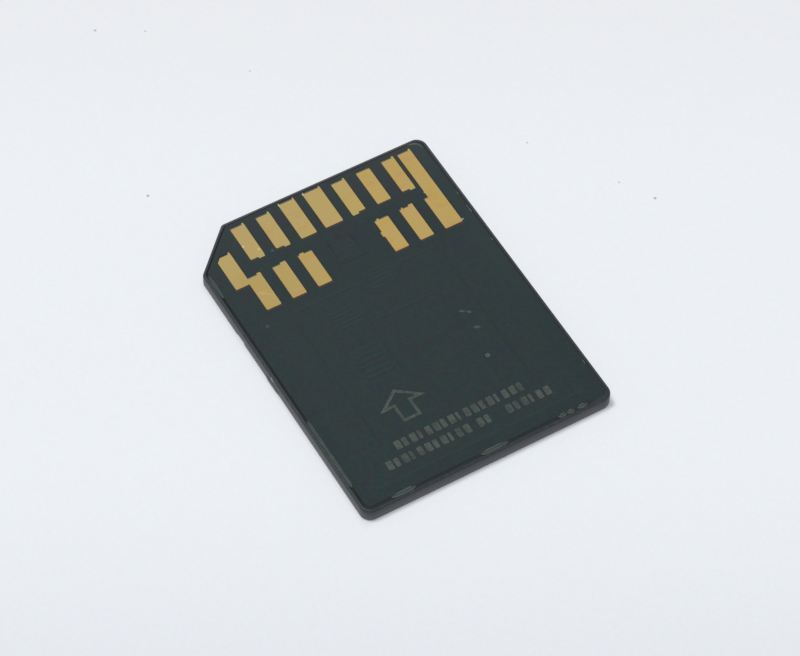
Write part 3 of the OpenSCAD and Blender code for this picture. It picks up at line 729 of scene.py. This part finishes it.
def card_outline(tray, inset):
    """The card's outline moved in by an inset, with equally many points for every inset."""
    side, front, back = tray.width / 2, tray.length / 2, -tray.length / 2
    radius = max(tray.corner_radius - inset, LEAST_RADIUS)
    cut_radius = max(tray.cut_radius - inset, LEAST_RADIUS)
    far, near = inset + radius, inset + cut_radius
    slant = near * (math.sqrt(2) - 1)
    corners = [
        arc((side - far, back + far), radius, -90, 0),
        arc((side - far, front - far), radius, 0, 90),
        arc((-side + tray.corner_cut + slant, front - near), cut_radius, 90, 135),
        arc((-side + near, front - tray.corner_cut - slant), cut_radius, 135, 180),
        arc((-side + far, back + far), radius, 180, 270),
    ]
    points = []
    for corner, following, count in zip(corners, corners[1:] + corners[:1], SIDE_STEPS):
        points += corner
        points += [corner[-1].lerp(following[0], k / count) for k in range(1, count)]
    return points


def swell(distance, reach):
    """1 over the middle half of a mark, falling softly to 0 at its ends."""
    t = min(1.0, max(0.0, 2 * (1 - abs(distance) / reach)))
    return t * t * (3 - 2 * t)


def quarter(steps):
    """Sine and cosine at even steps through a quarter turn."""
    return [(math.sin(math.pi / 2 * k / steps), math.cos(math.pi / 2 * k / steps))
            for k in range(steps + 1)]


# Wear at the top of the outer wall, at its upper end, at its foot and at the label's recess
TOP_WEAR, WALL_WEAR, FOOT_WEAR, RECESS_WEAR = 1.0, 0.4, 0.5, 0.3
# How far above the marks their wall is straight again
MARK_FADE = 0.03 * MM
# How far in from the wall the marks may move a point, in edge radii
MARK_REACH = 1.01


def tray_section(tray):
    """The tray's section as heights, insets and wear, from the pocket's floor out and round."""
    ledge_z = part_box("die_side_mask")[0].z
    top, edge, lip = tray.thickness, tray.edge_radius, tray.lip_radius
    pocket = tray.rim + tray.ledge
    section = [(tray.floor_height, pocket, 0), (ledge_z, pocket, 0), (ledge_z, tray.rim, 0)]
    section += [(top - lip + lip * s, tray.rim - lip + lip * c, 0) for s, c in quarter(LIP_STEPS)]
    section += [(top - edge + edge * c, edge - edge * s, TOP_WEAR + (WALL_WEAR - TOP_WEAR) * s)
                for s, c in quarter(EDGE_STEPS)]
    mark = tray.mark_height
    section += [(z, 0.0, 0) for z in (top / 2, mark + MARK_FADE, mark, top / 4)]
    section += [(edge - edge * s, edge - edge * c, FOOT_WEAR * s) for s, c in quarter(EDGE_STEPS)]
    return section + [
        (0.0, tray.label_margin - lip, RECESS_WEAR), (lip, tray.label_margin, 0),
        (tray.label_depth, tray.label_margin, 0),
    ]


def tray_ring(tray, z, inset):
    """One ring of the tray, with the gate mark and the nick in its left wall."""
    ring = []
    wall, edge = -tray.width / 2, tray.edge_radius
    for x, y in card_outline(tray, inset):
        if inset <= edge and z <= tray.mark_height and x < wall + edge * MARK_REACH:
            if z >= edge:
                x -= tray.gate_out * swell(y - tray.gate_middle, tray.gate_length / 2)
            depth = tray.nick_depth * swell(y - tray.nick_middle, tray.nick_length / 2)
            x = max(x, wall + depth) if depth > 0 else x
        ring.append(Vector((x, y, z)))
    return ring


def welded(node):
    """A node's mesh for editing, with the corners of its faces joined."""
    made = bmesh.new()
    made.from_mesh(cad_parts[node].data)
    bmesh.ops.remove_doubles(made, verts=made.verts, dist=WELD)
    return made


def finished(made, name):
    """An edited mesh as a named one."""
    mesh = bpy.data.meshes.new(name)
    made.to_mesh(mesh)
    made.free()
    return mesh


def ring_mesh(name, rings, wear, hoop=False):
    """A closed mesh through rings of equally many points, with flat ends or closed into a hoop."""
    made = bmesh.new()
    layer = made.verts.layers.float.new("wear")
    loops = []
    for ring, worn in zip(rings, wear):
        loop = [made.verts.new(p) for p in ring]
        for vertex in loop:
            vertex[layer] = worn
        loops.append(loop)
    for lower, upper in zip(loops, loops[1:] + loops[:1] if hoop else loops[1:]):
        for k in range(len(lower)):
            made.faces.new((lower[k - 1], lower[k], upper[k], upper[k - 1]))
    ends = [] if hoop else [made.faces.new(loops[0]), made.faces.new(list(reversed(loops[-1])))]
    bmesh.ops.recalc_face_normals(made, faces=made.faces)
    bmesh.ops.triangulate(made, faces=ends)
    mesh = finished(made, name)
    mesh.shade_smooth()
    mesh.set_sharp_from_angle(angle=SHARP_ANGLE)
    return mesh


def groove_rings(tray, groove):
    """Rings of the groove's fillet: along its hollow top from the board to the rim, and under it."""
    ledge_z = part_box("die_side_mask")[0].z
    off = Vector((groove.board_off_x, groove.board_off_y))
    board = [p + off for p in card_outline(tray, tray.rim + groove.board_gap)]
    rim = card_outline(tray, tray.rim)
    low = tray.thickness - groove.sunk
    section = [(0, ledge_z)]
    for k in range(GROOVE_STEPS + 1):
        t = k / GROOVE_STEPS
        section.append((t, low + groove.climb * abs(2 * t - 1) ** 2))
    section.append((1, ledge_z))
    return [[Vector((*a.lerp(b, t), z)) for a, b in zip(board, rim)] for t, z in section]


# A face is level when its normal's z is above the first, and a slope's is between the other two
LEVEL, LEAST_RISE, MOST_RISE = 0.9, 0.05, 0.9995
SAME_HEIGHT = 0.002 * MM
# The start and reach of a ray that looks for room, and the share of the room a corner may take
SIGHT_START, SIGHT, ROOM_SHARE = 0.001 * MM, 1.0, 0.3
# How much painted light a slope gets that faces -Y, and how much painted shade towards +Y, -X and +X
PALE_REAR, DARK_FRONT, DARK_LEFT, DARK_RIGHT = 0.9, 0.45, 0.8, 0.3


def sloped_copy(node, name, run, lift):
    """A copy of a node's mesh with a lower step, whose raised face is drawn in to a slope.

    The face attribute "lean" holds each slope's painted light and shade: 0.5 as level faces, up to 1
    for a painted highlight and down to 0 for painted shade.
    """
    made = welded(node)
    made.normal_update()
    walls = BVHTree.FromBMesh(made)
    top = max(v.co.z for v in made.verts)

    def raised(face):
        return face.normal.z > LEVEL and all(top - v.co.z < SAME_HEIGHT for v in face.verts)

    inward, outline = {}, []
    for edge in made.edges:
        high = [face for face in edge.link_faces if raised(face)]
        if len(high) != 1 or len(edge.link_faces) != 2:
            continue
        outline.append(edge)
        a, b = edge.verts
        across = Vector((a.co.y - b.co.y, b.co.x - a.co.x, 0)).normalized()
        if across.dot(high[0].calc_center_median() - a.co) < 0:
            across.negate()
        for vertex in edge.verts:
            inward.setdefault(vertex, []).append(across)
    moves = {}
    for vertex, sides in inward.items():
        way = (sides[0] + sides[-1]).normalized()
        if way.length < 0.5:
            continue
        start = Vector((vertex.co.x, vertex.co.y, top - lift / 2)) + way * SIGHT_START
        room = walls.ray_cast(start, way, SIGHT)[3] or SIGHT
        moves[vertex] = way * min(run / max(way.dot(sides[0]), 0.5), 2 * run, room * ROOM_SHARE)
    low = [face for face in made.faces if face.normal.z > LEVEL and not raised(face)]
    for vertex in {v for face in low for v in face.verts}:
        vertex.co.z += lift
    bmesh.ops.delete(made, geom=[face for face in made.faces if raised(face)], context="FACES")
    for vertex, move in moves.items():
        vertex.co += move
    bmesh.ops.triangle_fill(made, edges=outline, use_beauty=True, normal=(0, 0, 1))
    made.normal_update()
    lean = made.faces.layers.float.new("lean")
    for face in made.faces:
        x, y, up = face.normal
        face[lean] = 0.5
        if LEAST_RISE < up < MOST_RISE:
            tone = PALE_REAR * max(-y, 0) - DARK_FRONT * max(y, 0)
            tone -= DARK_LEFT * max(-x, 0) + DARK_RIGHT * max(x, 0)
            face[lean] += tone / math.hypot(x, y) / 2
    return finished(made, name)


# Points round a bead's section, the bluntness of its ends and how far its hollow reaches
SECTION_POINTS, BLUNT_END, HOLLOW_REACH = 20, 0.02, 0.3
BEAD_NUMBERS = ("Width", "Height", "Taper", "Dent", "Unevenness", "Step", "Seed")


def bead_tree():
    """Geometry nodes that lay an uneven, hollow-topped bead along each edge of a mesh."""
    tree = bpy.data.node_groups.new("groove_bead", "GeometryNodeTree")
    kinds = {"Geometry": "Geometry", **dict.fromkeys(BEAD_NUMBERS, "Float"), "Seed": "Int",
             "Finish": "Material"}
    for name, kind in kinds.items():
        tree.interface.new_socket(name, in_out="INPUT", socket_type="NodeSocket" + kind)
    tree.interface.new_socket("Geometry", in_out="OUTPUT", socket_type="NodeSocketGeometry")
    g = Graph(tree)
    given = tree.nodes.new("NodeGroupInput")

    def asked(name):
        return Wire(g, given.outputs[name])

    def step(kind, settings=None, out=0, **sockets):
        fed = {name.replace("_", " "): value for name, value in sockets.items()}
        return g.node("GeometryNode" + kind, settings, fed, out)

    path = step("MeshToCurve", Mesh=asked("Geometry"))
    path = step("ResampleCurve", {"mode": "LENGTH"}, Curve=path, Length=asked("Step"))
    path = step("SetCurveNormal", {"mode": "Z_UP"}, Curve=path)
    along = step("SplineParameter", out="Length")
    whole = step("SplineLength", out="Length")
    from_end = g.least(along, whole - along) / g.least(asked("Taper"), whole / 2)
    short = 1 - g.least(from_end + BLUNT_END, 1.0)
    place = g.scaled(step("InputPosition"), 1 / MM)
    ripple = g.grain(g.vector("ADD", place, g.joined(asked("Seed"), 0.0, 0.0)), 1.6, 3.0) - 0.5
    breadth = step("InputNamedAttribute", {"data_type": "FLOAT"}, "Attribute", Name="breadth")
    radius = breadth * (1 - short * short) ** 0.5 * (1 + ripple * asked("Unevenness") * 2)
    section = step("CurvePrimitiveCircle", Resolution=SECTION_POINTS, Radius=0.5)
    across, up, _ = g.parts(step("InputPosition"))
    middle = g.most(1 - (across / HOLLOW_REACH) ** 2, 0.0)
    hollow = middle * g.band(up, 0.0, -HOLLOW_REACH) * asked("Dent")
    section = step("SetPosition", Geometry=section, Position=g.joined(
        across * asked("Width"), up * asked("Height") + hollow, 0.0))
    section = step("StoreNamedAttribute", {"data_type": "FLOAT"}, Geometry=section, Name="side",
                   Value=g.maths("ABSOLUTE", across / (asked("Width") / 2)))
    bead = step("CurveToMesh", Curve=path, Profile_Curve=section, Scale=radius, Fill_Caps=True)
    bead = step("SetShadeSmooth", Geometry=bead)
    bead = step("SetMaterial", Geometry=bead, Material=asked("Finish"))
    made = tree.nodes.new("NodeGroupOutput")
    tree.links.new(bead.socket, made.inputs[0])
    return tree


def piece(name, mesh, material=None):
    """A new object at the origin, in the scene."""
    made = bpy.data.objects.new(name, mesh)
    bpy.context.scene.collection.objects.link(made)
    if material:
        mesh.materials.append(material)
    return made


def grown(holder, tree, inputs):
    """Runs a node tree on an object and leaves its result as the object's plain mesh."""
    modifier = holder.modifiers.new("grow", "NODES")
    modifier.node_group = tree
    names = {item.name: item.identifier for item in tree.interface.items_tree
             if item.in_out == "INPUT"}
    for name, value in inputs.items():
        modifier[names[name]] = value
    bpy.context.view_layer.update()
    ready = holder.evaluated_get(bpy.context.evaluated_depsgraph_get())
    mesh = bpy.data.meshes.new_from_object(ready)
    holder.modifiers.clear()
    holder.data = mesh
    if not mesh.polygons:
        raise RuntimeError(f"{holder.name}: the nodes made nothing")


def dress(material, *nodes):
    """Gives CAD nodes a finish."""
    for name in nodes:
        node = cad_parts[name]
        if not node.material_slots:
            node.data.materials.append(material)
        for slot in node.material_slots:
            slot.material = material


def loose_boxes(node):
    """The box of each separate solid in a node."""
    made = welded(node)
    left = set(made.verts)
    boxes = []
    while left:
        wave = [left.pop()]
        solid = list(wave)
        while wave:
            near = [e.other_vert(v) for v in wave for e in v.link_edges]
            wave = [v for v in dict.fromkeys(near) if v in left]
            left.difference_update(wave)
            solid += wave
        low = Vector([min(v.co[k] for v in solid) for k in range(3)])
        high = Vector([max(v.co[k] for v in solid) for k in range(3)])
        boxes.append((low, high))
    made.free()
    return sorted(boxes, key=lambda box: tuple(round(c, 6) for c in box[0]))


# Operators

CONTACT_COUNT = 13
WORN_COPPER = (0.48, 0.26, 0.15)
# How broad the beads at the sides are beside the rear ones, and how far in the right ones lie
LEFT_BREADTH, RIGHT_BREADTH, RIGHT_INSET = 0.62, 0.20, 0.16 * MM
# The pieces inside: how a finish is made, its name, two tones, scale and roughness, and its nodes
INSIDE = [
    (speckled, "inner_mask", (0.016, 0.060, 0.032), (0.024, 0.080, 0.045), 6, 0.5, ["die_side_mask"]),
    (speckled, "moulding_compound", (0.014, 0.014, 0.016), (0.05, 0.05, 0.052), 9, 0.55, ["mould_cap"]),
    (speckled, "film_adhesive", (0.50, 0.42, 0.22), (0.60, 0.52, 0.30), 3, 0.3, ["shell_adhesive"]),
    (speckled, "chip_film", (0.62, 0.54, 0.32), (0.70, 0.62, 0.42), 4, 0.35,
     ["lower_die_film", "upper_die_film", "controller_film"]),
    (plated, "wire_gold", (0.80, 0.60, 0.22), (0.88, 0.70, 0.34), 8, 0.2,
     ["lower_bond_wires", "upper_bond_wires", "controller_bond_wires"]),
    (speckled, "capacitor_body", (0.26, 0.19, 0.11), (0.34, 0.26, 0.17), 8, 0.4,
     ["capacitor_1", "capacitor_2", "capacitor_3", "capacitor_4"]),
    (speckled, "resistor_body", (0.016, 0.017, 0.020), (0.05, 0.05, 0.055), 8, 0.25,
     ["resistor_1", "resistor_2"]),
    (plated, "tin_plate", (0.50, 0.51, 0.53), (0.62, 0.62, 0.62), 6, 0.35, ["component_ends"]),
    (plated, "solder", (0.38, 0.39, 0.41), (0.52, 0.52, 0.53), 5, 0.3, ["solder_joints"]),
]
# The table lies a hair below the card
TABLE_DROP = 0.004 * MM
SENSOR_WIDTH, CLIP_START, CLIP_END = 36, 0.01, 20


class MakeTray(bpy.types.Operator):
    """Builds the moulded tray with round edges and puts it in place of the CAD tray"""

    bl_idname = "card.make_tray"
    bl_label = "Tray"

    def execute(self, context):
        tray = context.scene.card_tray
        section = tray_section(tray)
        rings = [tray_ring(tray, z, inset) for z, inset, _ in section]
        mesh = ring_mesh("tray", rings, [worn for _, _, worn in section])
        made = piece("tray", mesh, tray_plastic(tray))
        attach(made, BODY)
        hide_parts("shell")
        return {"FINISHED"}


class MakeBoard(bpy.types.Operator):
    """Builds the mask with sloped edges, and finishes the laminate and copper under it"""

    bl_idname = "card.make_board"
    bl_label = "Board"

    def execute(self, context):
        board = context.scene.card_board
        mesh = sloped_copy("contact_side_mask", "mask_face", board.slope, board.lift)
        made = piece("mask_face", mesh, solder_mask(board))
        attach(made, BODY)
        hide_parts("contact_side_mask")
        dress(laminate(board), "substrate")
        dress(plated("bare_copper", board.copper, WORN_COPPER, 3, 0.35),
              "contact_side_copper", "die_side_copper", "vias")
        return {"FINISHED"}


class FinishContacts(bpy.types.Operator):
    """Gives the contacts their plating"""

    bl_idname = "card.finish_contacts"
    bl_label = "Contacts"

    def execute(self, context):
        names = [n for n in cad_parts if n.startswith("contact_") and n[8:].isdigit()]
        if len(names) != CONTACT_COUNT:
            raise RuntimeError(f"{CONTACT_COUNT} contacts are needed, and the frame has {len(names)}")
        dress(contact_gold(context.scene.card_contacts), *names)
        return {"FINISHED"}


class MakeGroove(bpy.types.Operator):
    """Lines the groove with a thin fillet of adhesive"""

    bl_idname = "card.make_groove"
    bl_label = "Groove"

    def execute(self, context):
        scene = context.scene
        rings = groove_rings(scene.card_tray, scene.card_groove)
        mesh = ring_mesh("groove_lining", rings, [0] * len(rings), hoop=True)
        made = piece("groove_lining", mesh, groove_lining(scene.card_groove))
        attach(made, BODY)
        return {"FINISHED"}


class MakeBeads(bpy.types.Operator):
    """Lays the beads of cured adhesive in the groove, along the CAD beads"""

    bl_idname = "card.make_beads"
    bl_label = "Beads"

    def execute(self, context):
        tray, beads = context.scene.card_tray, context.scene.card_beads
        points, edges, breadths = [], [], []
        rim_x, rim_y = tray.width / 2 - tray.rim, tray.length / 2 - tray.rim
        for low, high in loose_boxes("edge_adhesive"):
            middle = (low + high) / 2
            rear = high.x - low.x > high.y - low.y
            breadth = 1.0 if rear else RIGHT_BREADTH if middle.x > 0 else LEFT_BREADTH
            z = high.z - beads.height * breadth / 2
            if rear:
                y = math.copysign(rim_y - beads.spill * breadth, middle.y)
                ends = [(low.x, y, z), (high.x, y, z)]
            else:
                inset = RIGHT_INSET if middle.x > 0 else beads.spill * breadth
                x = math.copysign(rim_x - inset, middle.x)
                ends = [(x, low.y, z), (x, high.y, z)]
            edges.append((len(points), len(points) + 1))
            points += ends
            breadths += [breadth, breadth]
        mesh = bpy.data.meshes.new("adhesive_beads")
        mesh.from_pydata(points, edges, [])
        mesh.attributes.new("breadth", "FLOAT", "POINT").data.foreach_set("value", breadths)
        made = piece("adhesive_beads", mesh)
        numbers = {name: getattr(beads, name.lower()) for name in BEAD_NUMBERS}
        grown(made, bead_tree(), {**numbers, "Finish": bead_adhesive(beads)})
        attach(made, BODY)
        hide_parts("edge_adhesive")
        return {"FINISHED"}


class FinishPrint(bpy.types.Operator):
    """Gives the print its broken ink, and the label its paper"""

    bl_idname = "card.finish_print"
    bl_label = "Print and label"

    def execute(self, context):
        scene = context.scene
        dress(marking_ink(scene.card_print, scene.card_board), "marking_ink")
        dress(label_paper(scene.card_label), "label")
        return {"FINISHED"}


class FinishInside(bpy.types.Operator):
    """Finishes the inner mask, chips, wires, components and moulding inside the card"""

    bl_idname = "card.finish_inside"
    bl_label = "Inside"

    def execute(self, context):
        for finish, name, first, second, scale, roughness, nodes in INSIDE:
            dress(finish(name, first, second, scale, roughness), *nodes)
        dress(silicon(), "nand_die_lower", "nand_die_upper", "controller_die")
        return {"FINISHED"}


class SetStage(bpy.types.Operator):
    """Sets the pale table, the soft light and the camera"""

    bl_idname = "card.set_stage"
    bl_label = "Stage"

    def execute(self, context):
        scene, stage = context.scene, context.scene.card_stage
        made = bmesh.new()
        bmesh.ops.create_grid(made, x_segments=8, y_segments=8, size=stage.table_width / 2)
        for vertex in made.verts:
            vertex.co.z = -TABLE_DROP
        table = finished(made, "table")
        piece("table", table, table_paper(stage))

        world = bpy.data.worlds.new("room")
        world.use_nodes = True
        scene.world = world
        g = Graph(world.node_tree)
        light = world.node_tree.nodes["Background"]
        shade = g.mix(g.seen(), (stage.sky, stage.sky, stage.sky), stage.backdrop)
        g.tree.links.new(shade.socket, light.inputs["Color"])

        lamp = bpy.data.lights.new("soft_lamp", "AREA")
        lamp.shape = "SQUARE"
        lamp.size = stage.lamp_width
        lamp.energy = stage.lamp_power
        made = piece("soft_lamp", lamp)
        made.location = stage.lamp_place
        made.rotation_euler = Vector(stage.lamp_place).to_track_quat("Z", "Y").to_euler()

        lens = bpy.data.cameras.new("camera")
        lens.sensor_width = SENSOR_WIDTH
        lens.lens = stage.lens
        lens.clip_start, lens.clip_end = CLIP_START, CLIP_END
        right, up = Vector(stage.camera_right), Vector(stage.camera_up)
        turn = Matrix((right, up, right.cross(up))).transposed()
        made = piece("camera", lens)
        made.matrix_world = Matrix.Translation(stage.camera_place) @ turn.to_4x4()
        scene.camera = made
        scene.view_settings.view_transform = "Standard"
        return {"FINISHED"}


OPERATORS = (MakeTray, MakeBoard, FinishContacts, MakeGroove, MakeBeads, FinishPrint, FinishInside,
             SetStage)
SETTINGS = {
    "card_tray": TraySettings, "card_board": BoardSettings, "card_contacts": ContactSettings,
    "card_groove": GrooveSettings, "card_beads": BeadSettings, "card_print": PrintSettings,
    "card_label": LabelSettings, "card_stage": StageSettings,
}


class CardPanel(bpy.types.Panel):
    """Lists the card's pieces and their settings."""

    bl_idname = "VIEW3D_PT_card"
    bl_label = "Card"
    bl_space_type = "VIEW_3D"
    bl_region_type = "UI"
    bl_category = "Card"

    def draw(self, context):
        for operator in OPERATORS:
            self.layout.operator(operator.bl_idname)
        for name, group in SETTINGS.items():
            box = self.layout.box()
            box.label(text=name.replace("card_", "").capitalize())
            for key in group.__annotations__:
                box.prop(getattr(context.scene, name), key)


def register():
    for group in SETTINGS.values():
        bpy.utils.register_class(group)
    for name, group in SETTINGS.items():
        setattr(bpy.types.Scene, name, PointerProperty(type=group))
    for cls in (*OPERATORS, CardPanel):
        bpy.utils.register_class(cls)


def unregister():
    for cls in (CardPanel, *reversed(OPERATORS)):
        bpy.utils.unregister_class(cls)
    for name, group in reversed(SETTINGS.items()):
        delattr(bpy.types.Scene, name)
        bpy.utils.unregister_class(group)


def main():
    """Registers the classes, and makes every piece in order."""
    register()
    bpy.ops.card.make_tray()
    bpy.ops.card.make_board()
    bpy.ops.card.finish_contacts()
    bpy.ops.card.make_groove()
    bpy.ops.card.make_beads()
    bpy.ops.card.finish_print()
    bpy.ops.card.finish_inside()
    bpy.ops.card.set_stage()


if __name__ == "__main__":
    main()
